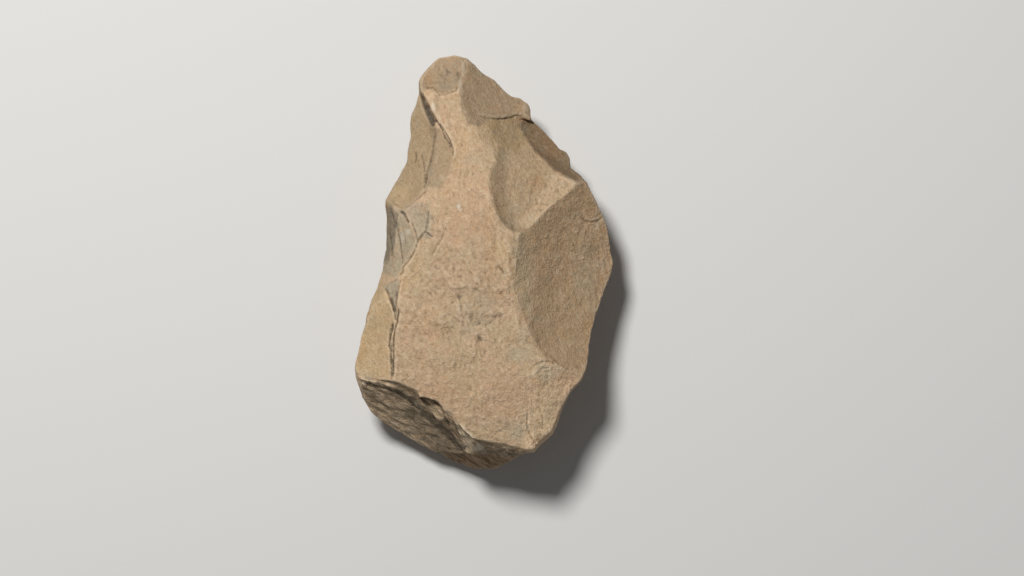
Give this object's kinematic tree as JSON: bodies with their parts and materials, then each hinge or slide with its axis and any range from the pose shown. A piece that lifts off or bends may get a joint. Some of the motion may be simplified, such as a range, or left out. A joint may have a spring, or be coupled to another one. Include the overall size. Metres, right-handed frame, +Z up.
{
  "type": "stone hand axe",
  "caption": "Pear-shaped stone hand axe, flaked all round to a sinuous edge, with a rounded tip, a thick butt and a flat lower face it rests on.",
  "frame": {"origin": "on the flat resting face, under the middle of the outline", "axes": "+Y from the butt to the tip, +Z up from the resting face to the domed upper face, +X towards the side with the large scooped scars"},
  "size_m": [0.1116, 0.1796, 0.054],
  "materials": {
    "stone": "rough weathered sandstone, matt"
  },
  "bodies": {
    "root": {"hand_axe": "stone"}
  },
  "joints": []
}
